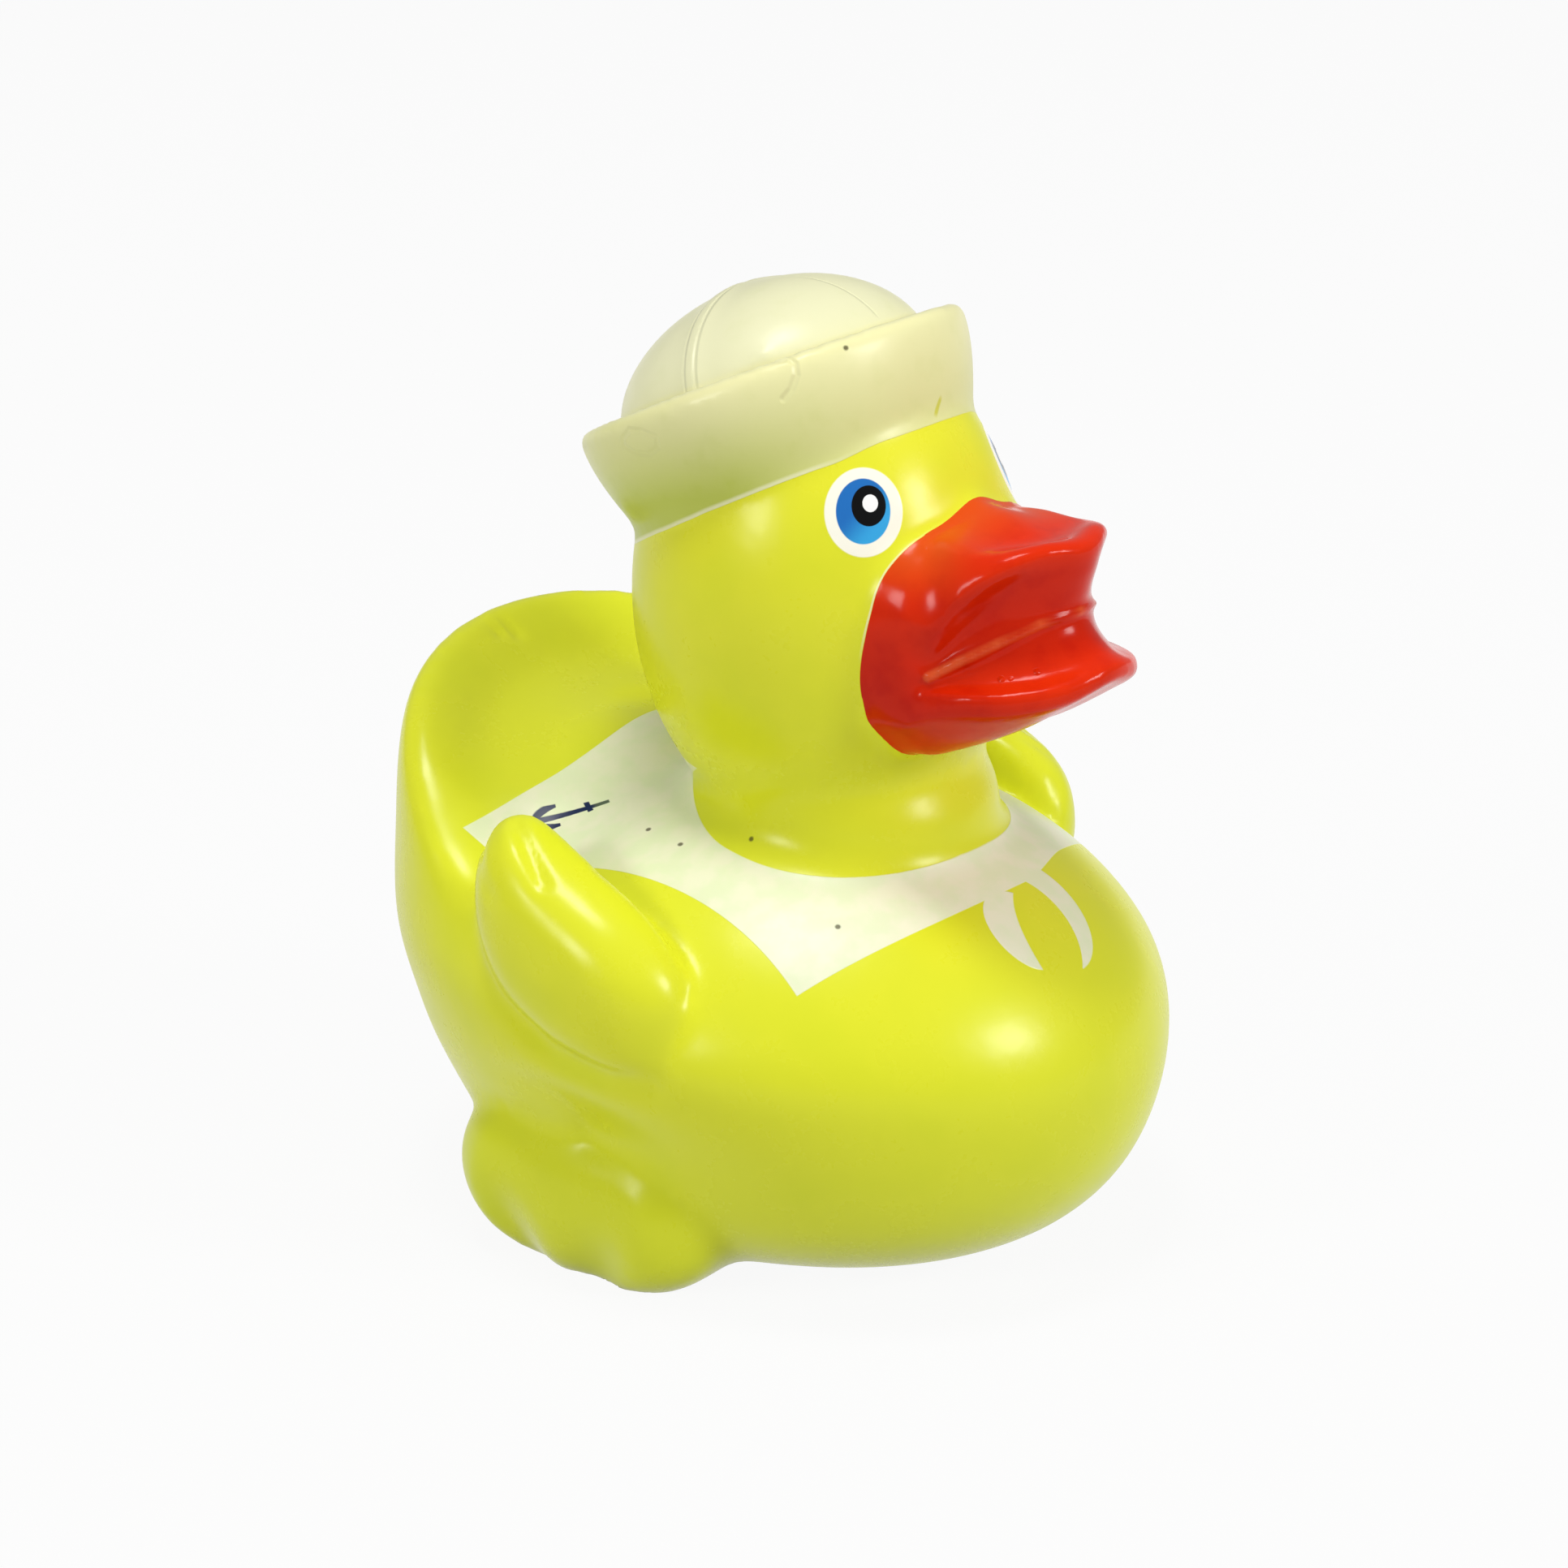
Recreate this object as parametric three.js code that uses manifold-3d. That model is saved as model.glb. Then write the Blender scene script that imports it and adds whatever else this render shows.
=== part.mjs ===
// Bath duck in a sailor hat: one hollow vinyl moulding.
// Units are millimetres. The duck faces -Y, +X is its left side and it stands on z = 0.
// The origin is the middle of the flat spot that it stands on.

import * as THREE from 'three';
import { LoftGeometry } from 'three/addons/geometries/LoftGeometry.js';
import { mergeVertices } from 'three/addons/utils/BufferGeometryUtils.js';
import Module from 'manifold-3d';

// Moulding
const WALL = 2;
const VENT_DIAMETER = 4;

// Hull: a squat bowl below the belly line and a dome above it
const HULL_WIDTH = 64;
const HULL_LENGTH = 72;
const BELLY_HEIGHT = 17.5;
const DOME_RISE = 23;
const BASE_DIAMETER = 27;
const STERN_TUCK = 0.2;
const FLANK_TUCK = 0.12;

// Tail: an upturned scoop that follows the hull round the back
const TAIL_SPREAD = THREE.MathUtils.degToRad(44);
const TAIL_TOP = 48.8;
const TAIL_ROOT_Z = 32.5;
const TAIL_FLOOR_Z = 42;
const TAIL_FLOOR_FALL = 6;

// Neck and head
const NECK_Y = -7.5;
const NECK_FOOT_DIAMETER = 30;
const NECK_WAIST_DIAMETER = 25.6;
const NECK_FOOT_Z = 37.3;
const NECK_SLOPE = 0.16;
const NECK_WAIST_Z = 42;
const HEAD_Y = -4.9;
const HEAD_Z = 57.5;
const HEAD_DIAMETER = 34;
const HEAD_HEIGHT = 45;

// Hat: its own axis leans back, its heights are measured along that axis.
// The brim's foot sits where the head is as wide as the foot, and a little above that.
const HAT_LEAN = THREE.MathUtils.degToRad(25);
const HAT_Y = -2.6;
const HAT_LIFT = 0.5;
const BRIM_FOOT_DIAMETER = 30.8;
const BRIM_TOP_DIAMETER = 35.2;
const BRIM_HEIGHT = 9.4;
const BRIM_THICKNESS = 2.2;
const CROWN_DIAMETER = 28;
const CROWN_HEIGHT = 16.8;

// Bill: a mound on the face that parts into two lips, with the fold of the mouth between them.
// Its heights are measured from the middle of the head.
const BILL_WIDTH = 23.4;
const BILL_SINK = 5.4;
const BILL_TOP = 11;
const BILL_CHIN = -10.6;
const UPPER_LIP_LENGTH = 16;
const UPPER_LIP_HEIGHT = -0.5;
const UPPER_LIP_RISE = 9.5;
const MOUTH_LENGTH = 15.4;
const MOUTH_HEIGHT = -3;
const MOUTH_RISE = 7.2;
const LOWER_LIP_LENGTH = 18.2;
const LOWER_LIP_HEIGHT = -5.2;
const LOWER_LIP_RISE = 4.9;
const MOUTH_DEPTH = 0.17;

// Wings: raised pads on the shoulders, each with an upturned tip.
// The middle of a wing's thickness lies inside the widest part of the hull by the sink.
const WING_SPAN = 25;
const WING_RISE = 21.4;
const WING_BULGE = 6.5;
const WING_SINK = 5.5;
const WING_LEAN = THREE.MathUtils.degToRad(10);
const WING_Y = -0.9;
const WING_Z = 31.5;

// Feet: webbed, three toes, lying along the lower sides of the hull
const FOOT_LENGTH = 29;
const FOOT_REACH = 13;
const FOOT_THICKNESS = 15;
const FOOT_Z = 5.8;
const FOOT_SINK = 18.3;
const FOOT_Y = 3.5;
const FOOT_HEEL_RISE = THREE.MathUtils.degToRad(13);

// Fineness of the round forms
const FINE = 32;
const COARSE = 20;

const wasm = await Module();
wasm.setup();

// A closed geometry as a solid: shared corners merged, faces that shrink to a line at a pole left out.
function solid(geometry) {
  const bare = new THREE.BufferGeometry();
  bare.setAttribute('position', geometry.attributes.position);
  bare.setIndex(geometry.index);
  const merged = mergeVertices(bare, 1e-4);
  const corners = merged.index.array;
  const kept = [];
  for (let i = 0; i < corners.length; i += 3) {
    const [a, b, c] = corners.slice(i, i + 3);
    if (a !== b && b !== c && c !== a) kept.push(a, b, c);
  }
  return new wasm.Manifold(new wasm.Mesh({
    numProp: 3,
    vertProperties: new Float32Array(merged.attributes.position.array),
    triVerts: new Uint32Array(kept),
  }));
}

const join = (solids) => solids.reduce((whole, next) => whole.add(next));

// A form for the +X side together with its mirror image, whose faces are turned round again.
function bothSides(form) {
  const other = new THREE.BufferGeometry();
  other.setAttribute('position', form.attributes.position.clone());
  other.setIndex([...form.index.array].reverse());
  other.scale(-1, 1, 1);
  return solid(form).add(solid(other));
}

// Outside surfaces are fine and the surfaces of the hollow are coarse.
const fineness = (inset) => (inset > 0 ? COARSE : FINE);

function ellipsoid(width, length, height, x, y, z, around = FINE) {
  const form = new THREE.SphereGeometry(0.5, around, Math.round(around * 0.6));
  form.rotateX(Math.PI / 2);
  form.scale(width, length, height);
  form.translate(x, y, z);
  return form;
}

// A revolved form that stands up along z. The profile runs from the axis, out and back to it.
function revolve(path, around = FINE) {
  const form = new THREE.LatheGeometry(path.getPoints(around / 4), around);
  form.rotateX(Math.PI / 2);
  return form;
}

// A cushion: a closed outline that shrinks to nothing above and below its own plane.
// Fullness under 1 gives flatter faces and a rounder edge.
function cushion(points, above, below, fullness) {
  const corners = points.map(([x, y]) => new THREE.Vector3(x, y, 0));
  if (THREE.ShapeUtils.isClockWise(corners)) corners.reverse();
  const ring = new THREE.CatmullRomCurve3(corners, true).getSpacedPoints(FINE).slice(0, FINE);
  const middle = ring.reduce((sum, p) => sum.add(p), new THREE.Vector3()).divideScalar(FINE);
  const sections = [];
  const rows = FINE / 4;
  for (let i = 0; i <= rows; i += 1) {
    const turn = THREE.MathUtils.lerp(-0.97, 0.97, i / rows) * Math.PI / 2;
    const size = Math.cos(turn) ** fullness;
    const height = Math.sin(turn) * (turn > 0 ? above : below);
    sections.push(ring.map((p) => p.clone().sub(middle).multiplyScalar(size).add(middle).setZ(height)));
  }
  return new LoftGeometry(sections, { capStart: true, capEnd: true });
}

// The stern and the flanks draw in towards the bottom.
function tuck(form) {
  const place = form.attributes.position;
  for (let i = 0; i < place.count; i += 1) {
    const low = 1 - THREE.MathUtils.smoothstep(place.getZ(i), BELLY_HEIGHT * 0.5, BELLY_HEIGHT * 1.5);
    place.setX(i, place.getX(i) * (1 - FLANK_TUCK * low));
    if (place.getY(i) > 0) place.setY(i, place.getY(i) * (1 - STERN_TUCK * low));
  }
}

// Hull, smaller all round by the inset
function hull(inset) {
  const belly = HULL_WIDTH / 2 - inset;
  const base = BASE_DIAMETER / 2 - inset;
  const profile = new THREE.Path();
  profile.moveTo(0, inset);
  profile.lineTo(base, inset);
  profile.bezierCurveTo(
    base + (belly - base) * 0.62, inset,
    belly, inset + BELLY_HEIGHT * 0.45,
    belly, BELLY_HEIGHT,
  );
  profile.absellipse(0, BELLY_HEIGHT, belly, DOME_RISE - inset, 0, Math.PI / 2, false, 0);
  const form = revolve(profile, fineness(inset));
  form.scale(1, (HULL_LENGTH / 2 - inset) / belly, 1);
  tuck(form);
  return solid(form);
}

// A fan: closed sections that stand upright on rays from a point of the z axis, one for each angle.
// The section function gives its corners as distance along the ray and height, going round once.
function fan(spread, rows, around, section) {
  const sections = [];
  for (let i = 0; i <= rows; i += 1) {
    const angle = THREE.MathUtils.lerp(-spread, spread, i / rows);
    const corners = section(angle).map(([out, z]) => new THREE.Vector3(out, 0, z));
    const curve = new THREE.CatmullRomCurve3(corners, true, 'catmullrom', 0.5);
    const ring = curve.getPoints(around).slice(0, around);
    sections.push(ring.map((p) => new THREE.Vector3(p.x * Math.sin(angle), -p.x * Math.cos(angle), p.z)));
  }
  return new LoftGeometry(sections, { capStart: true, capEnd: true });
}

// Length of a ray from the middle of an ellipse to its edge, at an angle from its long axis
const ellipseReach = (angle, across, along) =>
  1 / Math.hypot(Math.sin(angle) / across, Math.cos(angle) / along);

// Tail: the outer face carries the hull's side straight up, the inner face is the scoop.
// Away from the middle the rim drops and runs out along the shoulders of the hull.
// The hollow goes no higher than the floor of the scoop, so the rim is solid.
function tail(inset) {
  const around = fineness(inset);
  const form = fan(1.9 * TAIL_SPREAD, around * 0.75, around, (angle) => {
    const share = Math.abs(angle / TAIL_SPREAD);
    const full = 1 / (1 + share ** 6);
    const out = ellipseReach(angle, HULL_WIDTH / 2, HULL_LENGTH / 2) * (1 - 0.012 * share ** 4) - inset;
    const floor = TAIL_FLOOR_Z - TAIL_FLOOR_FALL * Math.sin(angle) ** 2 - inset;
    const crest = THREE.MathUtils.lerp(TAIL_ROOT_Z, TAIL_TOP, full) - inset;
    const top = inset > 0 ? Math.min(floor, crest) : crest;
    const rim = THREE.MathUtils.lerp(0.8, 0.93, full);
    const low = Math.min(floor, top - 1);
    return [
      [0.25 * out, 12], [0.25 * out, low - 2], [0.45 * out, low], [0.62 * out, low + 0.3],
      [0.76 * out, THREE.MathUtils.lerp(low, top, 0.28)],
      [(rim - 0.06) * out, THREE.MathUtils.lerp(low, top, 0.78)],
      [rim * out, top], [(rim + 0.045) * out, THREE.MathUtils.lerp(low, top, 0.7)],
      [(rim + 0.07) * out, Math.min(low, 35)], [out, BELLY_HEIGHT + 6], [0.88 * out, 10],
    ];
  });
  form.rotateZ(Math.PI);
  tuck(form);
  return solid(form);
}

// Neck: a short waist between the head and the hull. It slopes down towards the breast with the hull.
function neck(inset) {
  const profile = new THREE.Path();
  const foot = NECK_FOOT_DIAMETER / 2 - inset;
  const waist = NECK_WAIST_DIAMETER / 2 - inset;
  profile.moveTo(0, NECK_FOOT_Z - 6);
  profile.lineTo(foot, NECK_FOOT_Z - 6);
  profile.lineTo(foot, NECK_FOOT_Z);
  const bend = THREE.MathUtils.lerp(NECK_FOOT_Z, NECK_WAIST_Z, 0.4);
  profile.quadraticCurveTo(waist, bend, waist, NECK_WAIST_Z);
  profile.lineTo(waist * 0.8, NECK_WAIST_Z + 5);
  profile.lineTo(0, NECK_WAIST_Z + 5);
  const form = revolve(profile, fineness(inset));
  const place = form.attributes.position;
  for (let i = 0; i < place.count; i += 1) place.setZ(i, place.getZ(i) + NECK_SLOPE * place.getY(i));
  form.translate(0, NECK_Y, 0);
  return solid(form);
}

const head = (inset) => solid(ellipsoid(HEAD_DIAMETER - 2 * inset, HEAD_DIAMETER - 2 * inset,
  HEAD_HEIGHT - 2 * inset, 0, HEAD_Y, HEAD_Z, fineness(inset)));

function onHead(form) {
  const width = Math.min(1, BRIM_FOOT_DIAMETER / HEAD_DIAMETER);
  form.rotateX(-HAT_LEAN);
  form.translate(0, HAT_Y, HEAD_Z + HEAD_HEIGHT / 2 * Math.sqrt(1 - width ** 2) + HAT_LIFT);
  return solid(form);
}

// Crown of the hat: a low dome that rises from inside the brim
function crown(inset) {
  const profile = new THREE.Path();
  const radius = CROWN_DIAMETER / 2 - inset;
  const spring = BRIM_HEIGHT * 0.82;
  profile.moveTo(0, inset);
  profile.lineTo(radius, inset);
  profile.lineTo(radius, spring);
  const top = CROWN_HEIGHT - inset;
  profile.bezierCurveTo(radius, THREE.MathUtils.lerp(spring, top, 0.45), radius * 0.6, top, 0, top);
  return onHead(revolve(profile, fineness(inset)));
}

// Brim: a turned-up band that flares outwards and ends in a rolled edge
function brim() {
  const foot = BRIM_FOOT_DIAMETER / 2;
  const top = BRIM_TOP_DIAMETER / 2;
  const roll = BRIM_THICKNESS / 2;
  const profile = new THREE.Path();
  profile.moveTo(0, 0);
  profile.lineTo(foot, 0);
  profile.quadraticCurveTo(top, BRIM_HEIGHT * 0.55, top, BRIM_HEIGHT - roll);
  profile.absarc(top - roll, BRIM_HEIGHT - roll, roll, 0, Math.PI, false);
  profile.lineTo(CROWN_DIAMETER / 2 - WALL, BRIM_HEIGHT * 0.75);
  profile.lineTo(0, BRIM_HEIGHT * 0.75);
  return onHead(revolve(profile));
}

// Bill: a round mound at the cheeks that turns into two lips and the fold of the mouth in front
function bill() {
  const half = BILL_WIDTH / 2;
  const middle = (BILL_TOP + BILL_CHIN) / 2;
  const rise = (BILL_TOP - BILL_CHIN) / 2;
  const form = fan(Math.PI * 0.6, 28, FINE, (angle) => {
    const front = Math.max(0, Math.cos(angle));
    const upper = ellipseReach(angle, half, UPPER_LIP_LENGTH);
    const mouth = ellipseReach(angle, half, MOUTH_LENGTH);
    const lower = ellipseReach(angle, half, LOWER_LIP_LENGTH);
    const upperZ = UPPER_LIP_HEIGHT + UPPER_LIP_RISE * front ** 1.3;
    const mouthZ = MOUTH_HEIGHT + MOUTH_RISE * front ** 2;
    const lowerZ = LOWER_LIP_HEIGHT + LOWER_LIP_RISE * front ** 2;
    const fold = 1 - MOUTH_DEPTH;
    const lips = [
      [0.35 * upper, THREE.MathUtils.lerp(upperZ, BILL_TOP, 0.6)],
      [0.78 * upper, upperZ + 1.4], [0.96 * upper, upperZ + 0.7], [upper, upperZ - 1.4],
      [fold * upper, THREE.MathUtils.lerp(upperZ, mouthZ, 0.6)], [0.96 * mouth, mouthZ + 0.5],
      [0.96 * mouth, mouthZ - 0.5], [fold * lower, THREE.MathUtils.lerp(mouthZ, lowerZ, 0.4)],
      [0.97 * lower, lowerZ + 0.9], [lower, lowerZ - 0.8], [0.92 * lower, lowerZ - 3],
      [0.4 * lower, BILL_CHIN],
    ];
    const open = THREE.MathUtils.smoothstep(front, 0.3, 0.85);
    const outer = lips.map(([out, z], i) => {
      const turn = THREE.MathUtils.lerp(0.42, -0.42, i / (lips.length - 1)) * Math.PI;
      return [
        THREE.MathUtils.lerp(mouth * Math.cos(turn), out, open),
        THREE.MathUtils.lerp(middle + rise * Math.sin(turn), z, open),
      ];
    });
    return [[1, middle], [1, outer[0][1]], ...outer];
  });
  form.translate(0, HEAD_Y - HEAD_DIAMETER / 2 + BILL_SINK, HEAD_Z);
  return solid(form);
}

// Wing seen from the side, as shares of its span and rise: a comma with its tip up at the rear
function wings() {
  const outline = [
    [-0.42, 0.0], [-0.38, -0.38], [-0.2, -0.5], [0.1, -0.42], [0.38, -0.2],
    [0.5, 0.12], [0.46, 0.4], [0.33, 0.5], [0.1, 0.36], [-0.25, 0.16],
  ].map(([y, z]) => [y * WING_SPAN, z * WING_RISE]);
  const form = cushion(outline, WING_BULGE, WING_BULGE, 0.85);
  form.rotateX(Math.PI / 2);
  form.rotateZ(Math.PI / 2);
  form.rotateY(-WING_LEAN);
  form.translate(HULL_WIDTH / 2 - WING_SINK, WING_Y, WING_Z);
  return bothSides(form);
}

// Foot seen from above: the heel edge lies inside the hull, three toes point outwards
function feet() {
  const reach = FOOT_REACH;
  const half = FOOT_LENGTH / 2;
  const form = cushion([
    [-6, -half * 0.7], [reach * 0.6, -half], [reach, -half * 0.72], [reach * 0.95, -half * 0.38],
    [reach * 1.07, 0], [reach * 0.95, half * 0.38], [reach, half * 0.72], [reach * 0.6, half],
    [-6, half * 0.7],
  ], FOOT_THICKNESS / 2, FOOT_THICKNESS / 2, 0.45);
  form.rotateX(FOOT_HEEL_RISE);
  form.translate(HULL_WIDTH / 2 - FOOT_SINK, FOOT_Y, FOOT_Z);
  return bothSides(form);
}

function duck() {
  const outside = join([hull(0), tail(0), neck(0), head(0), crown(0), brim(), bill(), wings(), feet()]);
  const hollow = join([hull(WALL), tail(WALL), neck(WALL), head(WALL), crown(WALL)]);
  const vent = new THREE.CylinderGeometry(VENT_DIAMETER / 2, VENT_DIAMETER / 2, 4 * WALL, 24);
  vent.rotateX(Math.PI / 2);
  const ground = new THREE.BoxGeometry(4 * HULL_WIDTH, 4 * HULL_LENGTH, 40);
  ground.translate(0, 0, -20);
  return outside.subtract(hollow).subtract(solid(vent)).subtract(solid(ground));
}

function meshOf(shape, name, material) {
  const { vertProperties, triVerts } = shape.getMesh();
  const geometry = new THREE.BufferGeometry();
  geometry.setAttribute('position', new THREE.BufferAttribute(vertProperties, 3));
  geometry.setIndex(new THREE.BufferAttribute(triVerts, 1));
  geometry.computeVertexNormals();
  const mesh = new THREE.Mesh(geometry, material);
  mesh.name = name;
  return mesh;
}

const vinyl = new THREE.MeshStandardMaterial({ color: 0xe1e432, roughness: 0.38, metalness: 0 });
const part = new THREE.Group();
part.add(meshOf(duck(), 'duck_body', vinyl));

export default part;
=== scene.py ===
# %% [markdown]
# A bath duck in a sailor hat. The real toy is one hollow vinyl moulding with paint on it: nothing is joined to it
# later. So this lesson models the separate forms that a sculptor would start from, welds them into one skin, softens
# the places where they meet, presses the fine moulded lines into that skin, and then paints it.
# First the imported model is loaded: it says how large everything is, and where.

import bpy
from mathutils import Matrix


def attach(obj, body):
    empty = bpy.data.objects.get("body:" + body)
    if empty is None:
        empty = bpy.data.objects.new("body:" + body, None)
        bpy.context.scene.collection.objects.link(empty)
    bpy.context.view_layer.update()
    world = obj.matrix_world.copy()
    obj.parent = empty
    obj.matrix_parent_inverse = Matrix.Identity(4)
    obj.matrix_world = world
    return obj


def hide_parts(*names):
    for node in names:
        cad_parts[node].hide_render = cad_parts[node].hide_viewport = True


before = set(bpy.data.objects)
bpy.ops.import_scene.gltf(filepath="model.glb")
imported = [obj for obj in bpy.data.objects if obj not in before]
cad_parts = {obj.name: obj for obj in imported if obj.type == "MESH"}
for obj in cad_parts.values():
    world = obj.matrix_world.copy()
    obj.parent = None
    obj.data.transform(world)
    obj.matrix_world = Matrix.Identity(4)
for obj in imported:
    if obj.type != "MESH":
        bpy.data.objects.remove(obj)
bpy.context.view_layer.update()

# %% Units and tools
from math import cos, exp, hypot, pi, radians, sin, sqrt

import bmesh
import bpy
import numpy as np
from mathutils import Matrix, Vector
from mathutils.bvhtree import BVHTree

MM = 0.001
FINE = 128


def lerp(a, b, t):
    return a + (b - a) * t


def smoothstep(value, low, high):
    t = np.clip((value - low) / (high - low), 0, 1)
    return t * t * (3 - 2 * t)


# %% [markdown]
# Every form is made in millimetres and turned into metres at the very end. Round forms are profiles spun about an
# axis. Forms whose section changes are lofts: a flat grid of faces is bent so that each of its rows lies on one
# closed section. Both come out as closed shells, which is what the welding step needs.

# %% Three ways to make a closed form
def closed(bm):
    """Merges the seam and the poles, closes the ends and turns all faces outwards."""
    bmesh.ops.remove_doubles(bm, verts=bm.verts, dist=0.001)
    bmesh.ops.holes_fill(bm, edges=[e for e in bm.edges if e.is_boundary], sides=0)
    bmesh.ops.recalc_face_normals(bm, faces=bm.faces)
    return bm


def spun(profile):
    """Spins a profile of (radius, height) points about the z axis."""
    bm = bmesh.new()
    verts = [bm.verts.new((radius, 0, height)) for radius, height in profile]
    edges = [bm.edges.new(pair) for pair in zip(verts, verts[1:])]
    bmesh.ops.spin(bm, geom=verts + edges, axis=(0, 0, 1), angle=2 * pi, steps=FINE, use_merge=True)
    return closed(bm)


def lofted(sections):
    """Bends a grid so that each row lies on one closed section, a list of points that goes round once."""
    rows, around = len(sections) - 1, len(sections[0])
    bm = bmesh.new()
    bmesh.ops.create_grid(bm, x_segments=rows, y_segments=around, size=0.5)
    for vert in bm.verts:
        row = round((vert.co.x + 0.5) * rows)
        step = round((vert.co.y + 0.5) * around)
        vert.co = sections[row][step % around]
    return closed(bm)


def smooth_between(before, start, end, after, t):
    """A point on the smooth curve that runs through start and end, for t from 0 to 1."""
    curve = 2 * start + (end - before) * t + (2 * before - 5 * start + 4 * end - after) * t**2
    return (curve + (3 * start - before - 3 * end + after) * t**3) / 2


def closed_curve(corners, steps=FINE):
    """A smooth closed curve through the corners, as an array with one point for each step."""
    corners = np.array(corners, float)
    place = np.arange(steps) * len(corners) / steps
    index = place.astype(int)
    neighbours = (corners[(index + k) % len(corners)] for k in (-1, 0, 1, 2))
    return smooth_between(*neighbours, (place - index)[:, None])


def open_curve(rows, steps=FINE):
    """A smooth curve through rows of numbers from the first to the last, with steps + 1 rows."""
    rows = np.array(rows, float)
    last = len(rows) - 1
    place = np.linspace(0, last, steps + 1)
    index = np.minimum(place.astype(int), last - 1)
    neighbours = (rows[np.clip(index + k, 0, last)] for k in (-1, 0, 1, 2))
    return smooth_between(*neighbours, (place - index)[:, None])


def bezier(a, b, c, d, steps=24):
    t = np.linspace(0, 1, steps)[:, None]
    a, b, c, d = (np.array(p, float) for p in (a, b, c, d))
    return a * (1 - t) ** 3 + 3 * b * t * (1 - t) ** 2 + 3 * c * t**2 * (1 - t) + d * t**3


def quarter(radius, rise, height, steps=32):
    """A quarter of an ellipse that goes from its widest point up to the axis."""
    turn = np.linspace(0, pi / 2, steps)
    return np.stack([radius * np.cos(turn), height + rise * np.sin(turn)], axis=1)


def turned(bm, angle, axis):
    bmesh.ops.rotate(bm, verts=bm.verts, cent=(0, 0, 0), matrix=Matrix.Rotation(angle, 3, axis))
    return bm


def moved(bm, x, y, z):
    bmesh.ops.translate(bm, verts=bm.verts, vec=(x, y, z))
    return bm


def both_sides(bm):
    """Adds the mirror image of a form for the left side. Mirroring turns faces inside out, so they are turned back."""
    bmesh.ops.mirror(bm, geom=bm.verts[:] + bm.edges[:] + bm.faces[:], axis="X", merge_dist=0.001)
    bmesh.ops.recalc_face_normals(bm, faces=bm.faces)
    return bm


# %% [markdown]
# The hull is a squat bowl with a dome on it. It is spun round, stretched a little from bill to tail, and its lower
# half is drawn in at the stern and the flanks, with a shallow hollow above each foot. The underside is flat, with the
# small vent that a hollow moulding needs in its middle.

# %% Hull
HULL_WIDTH = 64
HULL_LENGTH = 72
BELLY_HEIGHT = 17.5
DOME_RISE = 23
BASE_DIAMETER = 27
STERN_TUCK = 0.14
FLANK_TUCK = 0.12
FOOT_HOLLOW = 0.085
FOOT_HOLLOW_Y = 2
FOOT_HOLLOW_LENGTH = 12
FOOT_HOLLOW_Z = 14.5
FOOT_HOLLOW_HEIGHT = 4.5
VENT_DIAMETER = 4
VENT_DEPTH = 3


def tucked(bm):
    """Draws the lower half in at the flanks, and at the stern."""
    for vert in bm.verts:
        low = 1 - smoothstep(vert.co.z, BELLY_HEIGHT * 0.5, BELLY_HEIGHT * 1.5)
        vert.co.x *= 1 - FLANK_TUCK * low
        if vert.co.y > 0:
            vert.co.y *= 1 - STERN_TUCK * low
    return bm


def hull():
    belly, base, vent = HULL_WIDTH / 2, BASE_DIAMETER / 2, VENT_DIAMETER / 2
    under = [(0, VENT_DEPTH), (vent, VENT_DEPTH), (vent, 0)]
    bowl = bezier((base, 0), (lerp(base, belly, 0.62), 0), (belly, BELLY_HEIGHT * 0.45), (belly, BELLY_HEIGHT))
    dome = quarter(belly, DOME_RISE, BELLY_HEIGHT)[1:]
    bm = spun([*under, *bowl, *dome])
    bmesh.ops.scale(bm, verts=bm.verts, vec=(1, HULL_LENGTH / HULL_WIDTH, 1))
    for vert in bm.verts:
        off_y = (vert.co.y - FOOT_HOLLOW_Y) / FOOT_HOLLOW_LENGTH
        off_z = (vert.co.z - FOOT_HOLLOW_Z) / FOOT_HOLLOW_HEIGHT
        vert.co.x *= 1 - FOOT_HOLLOW * exp(-(off_y**2) - off_z**2)
    return tucked(bm)


# %% [markdown]
# The tail is an upturned scoop. Its upright sections stand on rays from the middle of the hull, like the leaves of
# a fan: full height at the back, then lower and lower until they sink into the shoulders.

# %% Tail
TAIL_SPREAD = radians(54)
TAIL_FAN = 1.6 * TAIL_SPREAD
TAIL_TOP = 48.3
TAIL_TOP_FALL = 9.3
TAIL_TILT = 2.4
TAIL_ROOT_Z = 32.5
TAIL_FLOOR_Z = 42
TAIL_FLOOR_FALL = 8.5


def ellipse_reach(angle, across, along):
    """Length of a ray from the middle of an ellipse to its edge, at an angle from its long axis."""
    return 1 / hypot(sin(angle) / across, cos(angle) / along)


def fan(ribs, facing):
    """Lofts ribs that stand on rays from the z axis, each an angle and its (reach, height) corners."""
    sections = []
    for angle, corners in ribs:
        ring = closed_curve(corners)
        sections.append([(out * sin(angle), facing * out * cos(angle), height) for out, height in ring])
    return lofted(sections)


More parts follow.
